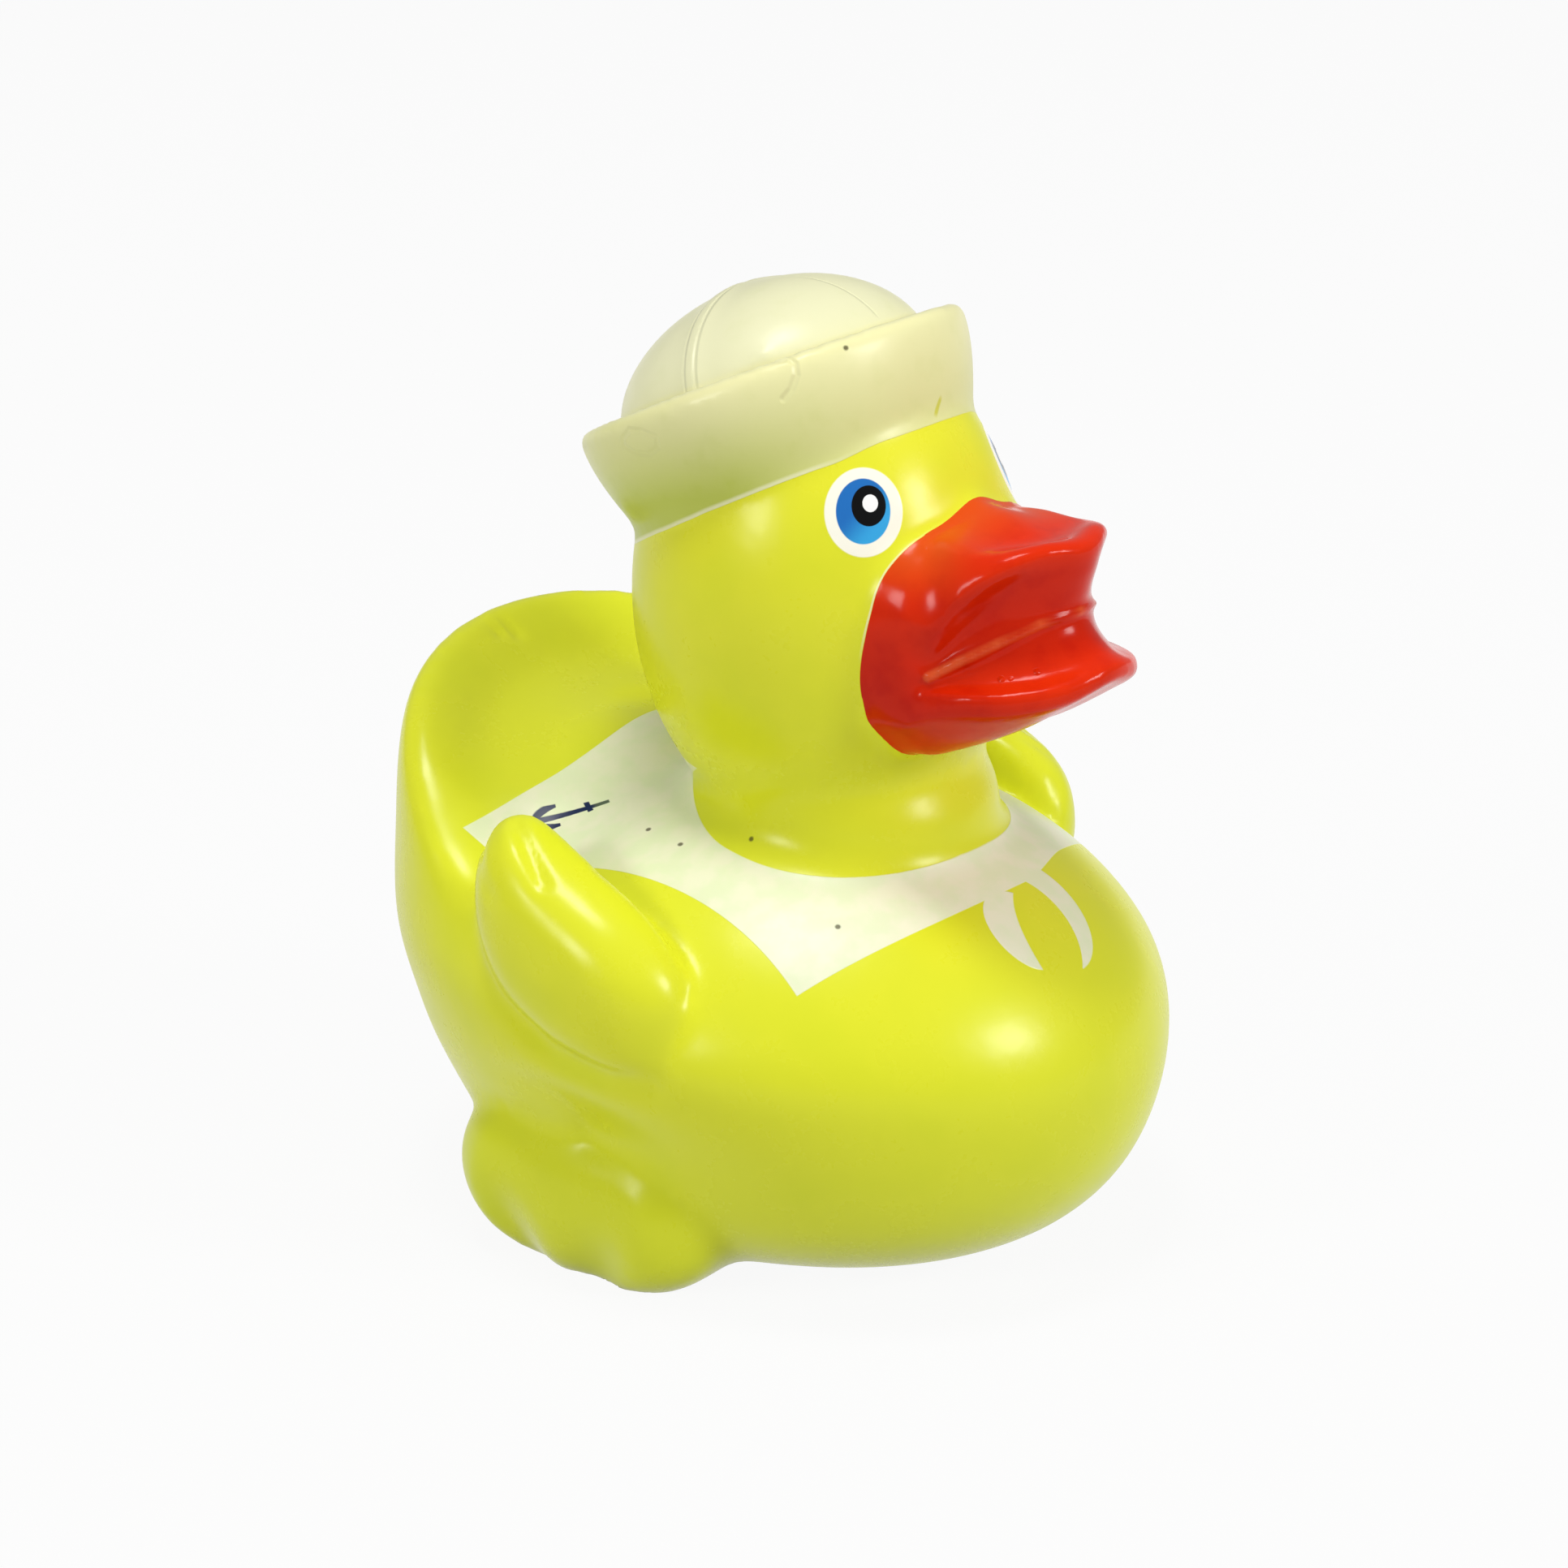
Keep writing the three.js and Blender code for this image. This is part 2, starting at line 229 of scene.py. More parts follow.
def tail_section(angle):
    """One upright section: up the inner face of the scoop, over its rim and down the outer face."""
    share = abs(angle / TAIL_SPREAD)
    full = 1 / (1 + share**8)
    out = ellipse_reach(angle, HULL_WIDTH / 2, HULL_LENGTH / 2) * (1 - 0.008 * share**4)
    floor = TAIL_FLOOR_Z - TAIL_FLOOR_FALL * sin(angle) ** 2
    crest = TAIL_TOP - TAIL_TOP_FALL * angle**2 + TAIL_TILT * sin(angle)
    top = lerp(TAIL_ROOT_Z, crest, full)
    rim = lerp(0.82, 0.93, sqrt(full))
    low = min(floor, top - 1)
    return [
        (0.25 * out, 12), (0.25 * out, low - 2), (0.45 * out, low), (0.62 * out, low + 0.3),
        (0.76 * out, lerp(low, top, 0.28)), ((rim - 0.07) * out, lerp(low, top, 0.76)),
        (rim * out, top), ((rim + 0.05) * out, lerp(low, top, 0.66)),
        ((rim + 0.07) * out, min(low, 35)), (out, BELLY_HEIGHT + 6), (0.9 * out, 10),
    ]


def tail():
    angles = np.linspace(-TAIL_FAN, TAIL_FAN, FINE + 1)
    return tucked(fan([(angle, tail_section(angle)) for angle in angles], 1))


# %% [markdown]
# Neck and head. The head is an egg that stands almost upright, and the neck is a short waist under it that slopes
# down towards the breast.

# %% Neck and head
NECK_Y = -7.5
NECK_FOOT_DIAMETER = 30
NECK_WAIST_DIAMETER = 25.6
NECK_FOOT_Z = 37.3
NECK_WAIST_Z = 42
NECK_SLOPE = 0.16
NECK_IN_HULL = 6
NECK_IN_HEAD = 5
HEAD_Y = -4.9
HEAD_Z = 57.5
HEAD_DIAMETER = 34
HEAD_HEIGHT = 45


def neck():
    foot, waist = NECK_FOOT_DIAMETER / 2, NECK_WAIST_DIAMETER / 2
    bend = lerp(NECK_FOOT_Z, NECK_WAIST_Z, 0.3)
    side = bezier((foot, NECK_FOOT_Z), (lerp(foot, waist, 0.7), bend), (waist, bend), (waist, NECK_WAIST_Z))
    low, high = NECK_FOOT_Z - NECK_IN_HULL, NECK_WAIST_Z + NECK_IN_HEAD
    bm = spun([(0, low), (foot, low), *side, (0.8 * waist, high), (0, high)])
    for vert in bm.verts:
        vert.co.z += NECK_SLOPE * vert.co.y
    return moved(bm, 0, NECK_Y, 0)


def head():
    bm = bmesh.new()
    bmesh.ops.create_uvsphere(bm, u_segments=FINE, v_segments=FINE // 2, radius=0.5)
    bmesh.ops.scale(bm, verts=bm.verts, vec=(HEAD_DIAMETER, HEAD_DIAMETER, HEAD_HEIGHT))
    return moved(bm, 0, HEAD_Y, HEAD_Z)


# %% [markdown]
# The hat: a low dome for the crown, and the brim, a turned-up band that flares and ends in a rolled edge. Both are
# spun about the hat's own axis, which leans back.

# %% Hat
HAT_LEAN = radians(25)
HAT_FRONT = 0.955
HAT_Y = -2.6
HAT_LIFT = 0.5
BRIM_FOOT_DIAMETER = 30.8
BRIM_TOP_DIAMETER = 35.2
BRIM_HEIGHT = 9.4
BRIM_THICKNESS = 2.2
CROWN_DIAMETER = 28
CROWN_HEIGHT = 16.8
CROWN_SPRING = BRIM_HEIGHT * 0.82
HAT_Z = HEAD_Z + HEAD_HEIGHT / 2 * sqrt(1 - (BRIM_FOOT_DIAMETER / HEAD_DIAMETER) ** 2) + HAT_LIFT


def on_head(bm):
    """Presses the front of a form of the hat in a little, leans it back and lifts it onto the head."""
    for vert in bm.verts:
        if vert.co.y < 0:
            vert.co.y *= HAT_FRONT
    return moved(turned(bm, -HAT_LEAN, "X"), 0, HAT_Y, HAT_Z)


def crown():
    radius = CROWN_DIAMETER / 2
    shoulder = (radius, lerp(CROWN_SPRING, CROWN_HEIGHT, 0.45))
    dome = bezier((radius, CROWN_SPRING), shoulder, (0.6 * radius, CROWN_HEIGHT), (0, CROWN_HEIGHT), 48)
    return on_head(spun([(0, 0), (radius, 0), *dome]))


def brim():
    foot, top, roll = BRIM_FOOT_DIAMETER / 2, BRIM_TOP_DIAMETER / 2, BRIM_THICKNESS / 2
    edge = BRIM_HEIGHT - roll
    flare = bezier((foot, 0), (lerp(foot, top, 0.67), BRIM_HEIGHT * 0.37), (top, BRIM_HEIGHT * 0.66), (top, edge))
    turn = np.linspace(0, pi, 12)[1:]
    rolled = np.stack([top - roll + roll * np.cos(turn), edge + roll * np.sin(turn)], axis=1)
    groove = BRIM_HEIGHT * 0.66
    inside = [(top - BRIM_THICKNESS - 0.3, groove), (0, groove)]
    return on_head(spun([(0, 0), *flare, *rolled, *inside]))


# %% [markdown]
# The bill takes the most care. At the cheeks it is a round mound on the face. Towards the front the mound opens
# into an upper and a lower lip, with a fold between them whose middle is a thin ridge. So it is drawn as ribs: the
# outline of its section at seven angles from the front. A smooth curve through all ribs gives the sections between,
# and the right half mirrors the left.

# %% Bill
BILL_SINK = 5.4
BILL_ROOT = Vector((0, HEAD_Y - HEAD_DIAMETER / 2 + BILL_SINK, HEAD_Z))
# angle, then (reach, height) of: top, brow, crest, tip, under the tip, slope, mouth, slope, lip, tip, under it, chin
BILL_RIBS = [
    (0, (6.0, 10.0), (10.9, 8.4), (14.3, 9.1), (15.6, 8.4), (15.5, 6.6), (14.9, 4.5),
     (14.6, 2.8), (15.3, 1.2), (16.9, -0.3), (18.5, -1.4), (17.2, -3.4), (7.2, -8.4)),
    (16, (5.8, 9.8), (10.7, 8.4), (13.8, 9.2), (14.9, 8.5), (14.4, 6.4), (13.8, 4.1),
     (13.8, 2.3), (14.3, 0.4), (15.8, -1.3), (17.8, -2.3), (16.5, -4.5), (6.9, -8.8)),
    (31, (5.4, 9.4), (10.4, 8.5), (12.9, 8.5), (14.1, 7.4), (13.1, 5.4), (12.4, 3.1),
     (12.9, 0.9), (13.0, -0.7), (14.2, -2.1), (16.2, -2.9), (15.1, -5.3), (6.6, -9.4)),
    (45, (4.8, 9.1), (9.4, 8.6), (11.6, 7.4), (13.0, 5.3), (12.3, 3.1), (11.6, 1.0),
     (12.1, -0.7), (11.9, -1.8), (12.7, -2.7), (14.3, -3.2), (13.5, -5.7), (6.4, -10.0)),
    (57, (4.7, 9.0), (8.4, 8.2), (11.0, 5.8), (12.3, 2.6), (12.0, 0.7), (11.5, -0.9),
     (11.8, -2.1), (11.7, -2.6), (12.0, -3.1), (12.6, -3.8), (12.2, -6.2), (6.3, -10.4)),
    (72, (4.6, 9.0), (8.0, 8.2), (10.4, 6.3), (11.6, 4.0), (12.0, 2.0), (12.1, 0.2),
     (12.1, -1.2), (12.1, -2.6), (12.0, -4.0), (11.7, -5.6), (10.8, -7.4), (6.2, -10.3)),
    (108, (4.2, 9.0), (7.4, 8.2), (9.6, 6.5), (10.6, 4.4), (11.0, 2.2), (11.1, 0.2),
     (11.1, -1.2), (11.1, -2.6), (11.0, -4.0), (10.7, -5.6), (10.0, -7.4), (5.8, -10.3)),
]
# place of the mouth's ridge among a rib's corners, and its course over the ribs that show it
MOUTH = 6
MOUTH_RIBS = [(radians(angle), *corners[MOUTH]) for angle, *corners in BILL_RIBS[:5]]


def bill():
    left = [(radians(angle), *np.ravel(corners)) for angle, *corners in BILL_RIBS]
    right = [(-angle, *corners) for angle, *corners in left[:0:-1]]
    ribs = []
    for angle, *numbers in open_curve(right + left):
        corners = np.reshape(numbers, (-1, 2))
        ribs.append((angle, [(1, 0), (1, corners[0, 1]), *corners]))
    return moved(fan(ribs, -1), *BILL_ROOT)


# %% [markdown]
# Wings and feet are cushions: an outline that shrinks to nothing on both sides of its own plane. A wing is a comma
# with its tip up at the rear, a foot has three blunt toes along its outer edge.

# %% Wings and feet
WING_SPAN = 25
WING_RISE = 21.4
WING_BULGE = 6.5
WING_BACK_BULGE = WING_BULGE * 0.45
WING_FULLNESS = (0.85, 0.75)
WING_SINK = 5.5
WING_LEAN = radians(3)
WING_Y = -0.9
WING_Z = 31.5
LEFT_WING_PITCH = radians(12)
LEFT_WING_LIFT = 1.6
FOOT_LENGTH = 29
FOOT_REACH = 13
FOOT_RISE = 6.4
FOOT_DROP = 8
FOOT_FULLNESS = (0.75, 0.4)
FOOT_Z = 7
FOOT_SINK = 17.2
FOOT_Y = 3.5
FOOT_HEEL_RISE = radians(6)


def cushion(outline, top_outline, bulges, fullness):
    """An outline that shrinks below its plane, and above it while it turns into the top outline.
    Bulge and fullness are given for the lower and the upper half: a fullness under 1 makes a flatter face."""
    low, high = closed_curve(outline), closed_curve(top_outline)
    sections = []
    for turn in np.linspace(-0.97, 0.97, FINE // 2) * pi / 2:
        ring = lerp(low, high, smoothstep(sin(turn), -0.7, 0.2))
        middle = ring.mean(axis=0)
        half = int(turn > 0)
        shrunk = middle + (ring - middle) * cos(turn) ** fullness[half]
        sections.append([(x, y, bulges[half] * sin(turn)) for x, y in shrunk])
    return lofted(sections)


def wings():
    outline = [
        (-0.39 * WING_SPAN, -0.11 * WING_RISE), (-0.36 * WING_SPAN, -0.4 * WING_RISE),
        (-0.2 * WING_SPAN, -0.5 * WING_RISE), (0.1 * WING_SPAN, -0.42 * WING_RISE),
        (0.38 * WING_SPAN, -0.2 * WING_RISE), (0.5 * WING_SPAN, 0.12 * WING_RISE),
        (0.47 * WING_SPAN, 0.37 * WING_RISE), (0.34 * WING_SPAN, 0.47 * WING_RISE),
        (0.12 * WING_SPAN, 0.35 * WING_RISE), (-0.22 * WING_SPAN, 0.14 * WING_RISE),
    ]
    bm = cushion(outline, outline, (WING_BACK_BULGE, WING_BULGE), WING_FULLNESS)
    turned(turned(turned(bm, pi / 2, "X"), pi / 2, "Z"), -WING_LEAN, "Y")
    pair = both_sides(moved(bm, HULL_WIDTH / 2 - WING_SINK, WING_Y, WING_Z))
    for vert in pair.verts:
        if vert.co.x > 0:
            vert.co = raised(vert.co)
    return pair


def raised(point):
    """The left wing stands a little higher in front than the right one."""
    middle = Vector((0, WING_Y, WING_Z))
    return Matrix.Rotation(-LEFT_WING_PITCH, 3, "X") @ (point - middle) + middle + Vector((0, 0, LEFT_WING_LIFT))


def foot_outline(notch, toe):
    """Seen from above. The notches beside the middle toe and the toe itself are shares of the reach."""
    reach, half = FOOT_REACH, FOOT_LENGTH / 2
    return [
        (-6, -0.7 * half), (0.6 * reach, -half), (reach, -0.72 * half), (notch * reach, -0.38 * half),
        (toe * reach, 0), (notch * reach, 0.38 * half), (reach, 0.68 * half), (0.6 * reach, 0.94 * half),
        (-6, 0.7 * half),
    ]


def feet():
    bm = cushion(foot_outline(0.94, 1.07), foot_outline(1.05, 1.07), (FOOT_DROP, FOOT_RISE), FOOT_FULLNESS)
    turned(bm, FOOT_HEEL_RISE, "X")
    return both_sides(moved(bm, HULL_WIDTH / 2 - FOOT_SINK, FOOT_Y, FOOT_Z))


# %% [markdown]
# Welding. The forms lie in each other, as lumps of clay would. A voxel remesh turns them into one skin with even
# faces, and everything that lies inside it is gone.

# %% One skin
VOXEL = 0.58
FORMS = [hull, tail, neck, head, crown, brim, bill, wings, feet]


def gathered(forms):
    whole = bmesh.new()
    for form in forms:
        bm = form()
        mesh = bpy.data.meshes.new(form.__name__)
        bm.to_mesh(mesh)
        whole.from_mesh(mesh)
        print(form.__name__, len(mesh.polygons), "faces")
        bm.free()
        bpy.data.meshes.remove(mesh)
    return whole


def welded(bm):
    """One even skin round everything, by a Remesh modifier that is applied at once."""
    mesh = bpy.data.meshes.new("clay")
    bm.to_mesh(mesh)
    bm.free()
    clay = bpy.data.objects.new("clay", mesh)
    bpy.context.scene.collection.objects.link(clay)
    remesh = clay.modifiers.new("weld", "REMESH")
    remesh.mode = "VOXEL"
    remesh.voxel_size = VOXEL
    graph = bpy.context.evaluated_depsgraph_get()
    skin = bpy.data.meshes.new_from_object(clay.evaluated_get(graph))
    bpy.data.objects.remove(clay)
    result = bmesh.new()
    result.from_mesh(skin)
    print("skin", len(result.verts), "corners")
    return result


skin = welded(gathered(FORMS))

# %% [markdown]
# The remesh blunts crisp edges by about a voxel. So the finest places are brought back: the faces of the bill are
# divided once more, and the corners of bill and hat are laid on the forms that they came from.

# %% Crisp edges
BILL_ZONE_Y = -20.5
BILL_ZONE_Z = (44, 70)
BILL_BLEND = 0.8
HAT_BLEND = (1, 2.5)
SNAP_REACH = 0.7


def hat_level(co):
    """Height above the foot of the hat, along the hat's own axis."""
    return (co[1] - HAT_Y) * sin(HAT_LEAN) + (co[2] - HAT_Z) * cos(HAT_LEAN)


def divided(bm, inside):
    edges = [e for e in bm.edges if all(inside(v.co) for v in e.verts)]
    bmesh.ops.subdivide_edges(bm, edges=edges, cuts=1, use_grid_fill=True)


def laid_on(bm, form, strength):
    """Moves each corner onto the nearest point of a form, by a strength from 0 to 1 for its place."""
    tree = BVHTree.FromBMesh(form)
    for vert in bm.verts:
        amount = strength(vert.co)
        if amount > 0:
            nearest = tree.find_nearest(vert.co, SNAP_REACH)[0]
            if nearest:
                vert.co = vert.co.lerp(nearest, float(amount))


def in_bill(co):
    return co.y < BILL_ZONE_Y and BILL_ZONE_Z[0] < co.z < BILL_ZONE_Z[1]


def bill_strength(co):
    return smoothstep(-co.y, -BILL_ZONE_Y, BILL_BLEND - BILL_ZONE_Y) if in_bill(co) else 0


def hat_strength(co):
    return smoothstep(hat_level(co), *HAT_BLEND)


divided(skin, in_bill)
laid_on(skin, bill(), bill_strength)
for part in (brim(), crown()):
    laid_on(skin, part, hat_strength)
print("with the divided bill", len(skin.verts), "corners")

# %% [markdown]
# Softening. On a moulding the forms run into each other in soft hollows, but edges such as the hat's stay crisp. So
# each soft spot below has a centre, a reach and a strength, and the skin is relaxed more rounds where it is strong.
# The two sides of the duck are alike, so a spot counts for both.

# %% Relax the skin
ROUNDS = 60
CRISP = 0.03
PLAIN = 0.1
CRISP_HAT_LEVEL = 1.5
# centre, reach and strength
SOFT_SPOTS = [
    ((0, -6, 45), 12, 0.9),        # head into neck
    ((0, -7, 37.5), 17, 0.25),     # neck into hull
    ((0, 10, 40), 12, 0.9),        # back of the neck into the scoop
    ((18, 14, 36), 9, 0.9),        # shoulders of the scoop
    ((26, 20, 26), 11, 1.0),       # tail into the flanks
    ((19, 28, 22), 11, 1.0),
    ((0, 33, 24), 14, 0.8),
    ((27, 14, 36), 7, 1.0),
    ((32, 3, 32.5), 6, 0.9),       # face of the wing
    ((27.5, -5, 11.5), 4, 0.4),    # upper edge of the foot
    ((27.5, 4, 11.5), 4, 0.4),
    ((26, 12, 11.5), 4, 0.4),
    ((14, -12, 8), 7, 0.8),
    ((16, 18, 8), 7, 0.8),
    ((11.5, -17, 57), 4, 0.4),     # cheeks of the bill
    ((0, -18, 67.5), 4, 0.5),      # its root on the forehead
    ((0, -19.5, 46.5), 5, 0.5),    # and under the chin
]


def places(bm):
    return np.array([vert.co for vert in bm.verts])


def relax(bm):
    co = places(bm)
    co[:, 0] = abs(co[:, 0])
    crisp = (co[:, 1] < BILL_ZONE_Y - 1) | (hat_level(co.T) > CRISP_HAT_LEVEL)
    softness = np.where(crisp, CRISP, PLAIN)
    for centre, reach, strength in SOFT_SPOTS:
        distance = np.linalg.norm(co - centre, axis=1)
        softness = np.maximum(softness, strength * np.exp(-((distance / reach) ** 2)))
    order = np.ceil(softness * ROUNDS)
    verts = list(bm.verts)
    for turn in range(ROUNDS):
        chosen = [verts[i] for i in np.flatnonzero(order > turn)]
        if chosen:
            bmesh.ops.smooth_vert(bm, verts=chosen, factor=0.5, use_axis_x=True, use_axis_y=True, use_axis_z=True)


relax(skin)
print("relaxed", skin.calc_volume() / 1000, "cubic centimetres inside the skin")

# %% [markdown]
# Moulded lines. The hat's seams and a short welt beside them, two nicks in the tail's rim and the grooves of the
# feathers are strokes: paths of a few points along which the skin is pushed in or out. Those of the hat are given in
# the hat's own place and turned onto the head with it.

# %% Strokes on the skin
def hat_point(angle, radius, height):
    """A point of the hat, by its angle from the front towards the left side, its radius and its height."""
    point = Vector((radius * sin(angle), -radius * cos(angle), height))
    return Matrix.Rotation(-HAT_LEAN, 3, "X") @ point + Vector((0, HAT_Y, HAT_Z))


def path_distance(co, path):
    best = np.full(len(co), np.inf)
    for a, b in zip(path, path[1:]):
        a, b = np.array(a, float), np.array(b, float)
        along = np.clip((co - a) @ (b - a) / ((b - a) @ (b - a)), 0, 1)
        best = np.minimum(best, np.linalg.norm(co - a - along[:, None] * (b - a), axis=1))
    return best


def stroke(bm, path, width, height):
    """Pushes the skin out along its normals near the path, or in where height is below 0."""
    amount = height * np.exp(-((path_distance(places(bm), path) / width) ** 2))
    bm.normal_update()
    verts = list(bm.verts)
    for i in np.flatnonzero(abs(amount) > 0.01):
        verts[i].co += verts[i].normal * float(amount[i])


def crown_seam(angle):
    """A seam line from the top of the crown down to the brim."""
    turns = np.linspace(0.05, 1, 8)
    radius = CROWN_DIAMETER / 2
    rise = CROWN_HEIGHT - CROWN_SPRING
    return [
        hat_point(angle, radius * sin(turn * pi / 2), CROWN_HEIGHT - rise * (1 - cos(turn * pi / 2))) for turn in turns
    ]


SEAM_ANGLE = radians(80)
# turn from the front in degrees, radius and height
WELT = [(-66, 14.2, 10), (-58, 13.9, 10.2), (-50, 13.5, 10.4)]
TAIL_NICKS = [[(-0.5, 32.4, 48.6), (-0.2, 30.4, 46.6)], [(-2.4, 32.4, 48.6), (-2, 30.9, 47.1)]]
# the sides that have the groove, its width, height and path
BOTH = (-1, 1)
FEATHERS = [
    (BOTH, 0.7, -0.42, [(27.8, 7.2, 41.4), (29.2, 4.6, 39.8), (30.6, 1.8, 37.8)]),
    (BOTH, 0.7, -0.42, [(27.4, 10.4, 39.6), (29.4, 9.0, 37.8), (31.2, 6.4, 35.8)]),
    ((1,), 0.7, -0.42, [(26.5, -3.2, 37.4), (28.6, -4.8, 36.2), (30.4, -6.6, 34)]),
    ((1,), 0.7, -0.42, [(25.4, -5.2, 36.4), (27.4, -7, 35), (29.2, -9, 32.6)]),
    (BOTH, 1.2, -0.7, [(26, 11, 30.5), (29.4, 7.2, 25.4), (31.2, 1, 22.4), (31.2, -5.5, 21.2), (30.4, -9, 21.4)]),
    (BOTH, 0.9, -0.35, [(25.8, 0.4, 37), (26.2, -3.5, 35), (26.4, -7.4, 32), (26.6, -10, 29)]),
]
for angle in (-SEAM_ANGLE, SEAM_ANGLE):
    stroke(skin, crown_seam(angle), 1.1, 0.28)
stroke(skin, [hat_point(radians(a), radius, height) for a, radius, height in WELT], 0.6, 0.35)
for path in TAIL_NICKS:
    stroke(skin, path, 0.5, -0.4)
for sides, width, height, path in FEATHERS:
    for side in sides:
        points = [Vector(point) for point in path]
        on_wing = [raised(p) for p in points] if side > 0 else [Vector((-p.x, p.y, p.z)) for p in points]
        stroke(skin, on_wing, width, height)
print("grooves in the feathers", sum(len(sides) for sides, *_ in FEATHERS))

# %% [markdown]
# The fold of the mouth has a thin raised line along its middle, from cheek to cheek. It follows the ribs of the bill.

# %% The bead along the mouth
BEAD_WIDTH = 0.4
BEAD_HEIGHT = 0.36


def on_mouth(angle, out, height):
    return BILL_ROOT + Vector((out * sin(angle), -out * cos(angle), height))


def mouth_line():
    left = [on_mouth(*rib) for rib in open_curve(MOUTH_RIBS, 24)]
    return [Vector((-p.x, p.y, p.z)) for p in left[:0:-1]] + left


stroke(skin, mouth_line(), BEAD_WIDTH, BEAD_HEIGHT)
print("bead along the mouth", len(mouth_line()), "points")

# %% [markdown]
# The shape is done. It is cut off level with the floor and turned into metres. It rides on the frame's only body
# and takes the place of the imported moulding.

# %% The finished piece
def finished(bm, name):
    for vert in bm.verts:
        vert.co.z = max(vert.co.z, 0)
    bmesh.ops.scale(bm, verts=bm.verts, vec=(MM, MM, MM))
    bmesh.ops.recalc_face_normals(bm, faces=bm.faces)
    mesh = bpy.data.meshes.new(name)
    bm.to_mesh(mesh)
    bm.free()
    mesh.shade_smooth()
    piece = bpy.data.objects.new(name, mesh)
    bpy.context.scene.collection.objects.link(piece)
    print(name, sum(len(p.vertices) - 2 for p in mesh.polygons), "triangles")
    return piece


duck = finished(skin, "duck_moulding")
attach(duck, "root")
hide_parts("duck_body")

# %% [markdown]
# Paint. The whole duck is yellow vinyl, and each paint is a mask on it: an area of the surface that a formula of the
# place, in millimetres, tells apart. To write such formulas as plain Python, a small class wraps a socket of the
# shader and turns operators into Math nodes.

# %% Shader maths as Python
class Field:
    """A value that varies over the surface."""

    def __init__(self, socket):
        self.socket = socket

    def __add__(self, other):
        return maths("ADD", self, other)

    def __sub__(self, other):
        return maths("SUBTRACT", self, other)

    def __rsub__(self, other):
        return maths("SUBTRACT", other, self)

    def __mul__(self, other):
        return maths("MULTIPLY", self, other)

    def __truediv__(self, other):
        return maths("DIVIDE", self, other)

    def __pow__(self, other):
        return self * self if other == 2 else maths("POWER", self, other)

    def __abs__(self):
        return maths("ABSOLUTE", self)

    def __neg__(self):
        return maths("MULTIPLY", self, -1)

    __radd__ = __add__
    __rmul__ = __mul__


# %% [markdown]
# All nodes are made by one function. What it gets as a Field is linked, and anything else is set on the socket.

# %% The material and its nodes
material = bpy.data.materials.new("painted_vinyl")
material.use_nodes = True
tree = material.node_tree
tree.nodes.clear()


def node(kind, settings=None, values=None, out=0):
    """Adds a node to the current tree: its settings, then the values or links of its sockets."""
    made = tree.nodes.new(kind)
    for key, value in (settings or {}).items():
        setattr(made, key, value)
    for key, value in (values or {}).items():
        if isinstance(value, Field):
            tree.links.new(value.socket, made.inputs[key])
        else:
            made.inputs[key].default_value = value
    return Field(made.outputs[out])


def maths(operation, *values, clamp=False):
    return node("ShaderNodeMath", {"operation": operation, "use_clamp": clamp}, dict(enumerate(values)))


# %% Plain functions of fields
def least(a, b):
    return maths("MINIMUM", a, b)


def most(a, b):
    return maths("MAXIMUM", a, b)


def root(a):
    return maths("SQRT", a)


def dot(a, b):
    return node("ShaderNodeVectorMath", {"operation": "DOT_PRODUCT"}, {0: a, 1: b}, out="Value")


def distance(a, b):
    return node("ShaderNodeVectorMath", {"operation": "DISTANCE"}, {0: a, 1: b}, out="Value")


# %% Soft edges, noise and colours
def below(field, edge, soft=0.08):
    """1 where the field is under the edge and 0 above it, with a soft step between."""
    return maths("MULTIPLY_ADD", field, -1 / soft, edge / soft + 0.5, clamp=True)


def above(field, edge, soft=0.08):
    return maths("MULTIPLY_ADD", field, 1 / soft, 0.5 - edge / soft, clamp=True)


def ramp(field, low, high):
    """Rises smoothly from 0 to 1 as the field goes from low to high."""
    return node("ShaderNodeMapRange", {"interpolation_type": "SMOOTHSTEP"}, {0: field, 1: low, 2: high})


def noise(size, detail=2.0):
    """Noise from 0 to 1 whose lumps are about the given size in millimetres."""
    return node("ShaderNodeTexNoise", None, {"Vector": place, "Scale": 1 / size, "Detail": detail})


def mixed(mask, under, over):
    return node("ShaderNodeMix", {"data_type": "RGBA"}, {0: mask, 6: under, 7: over}, out=2)


def srgb(red, green, blue):
    """A colour as it is seen on a screen, turned into the linear values that a shader takes."""
    def linear(value):
        value /= 255
        return value / 12.92 if value <= 0.04045 else ((value + 0.055) / 1.055) ** 2.4
    return (linear(red), linear(green), linear(blue), 1.0)


# %% The place on the duck, in millimetres
seen = node("ShaderNodeTexCoord", out="Object")
place = node("ShaderNodeVectorMath", {"operation": "SCALE"}, {0: seen, "Scale": 1 / MM})
split = node("ShaderNodeSeparateXYZ", None, {0: place})
x, y, z = (Field(split.socket.node.outputs[i]) for i in range(3))
side = abs(x)
mirrored = node("ShaderNodeCombineXYZ", None, {0: side, 1: y, 2: z})

# %% [markdown]
# Where the paints lie. The hat's edge is a plane across the hat's axis that wanders a little, and the bill's edge is
# an egg shape seen from the front. Both have a thin light line where the paint ends.

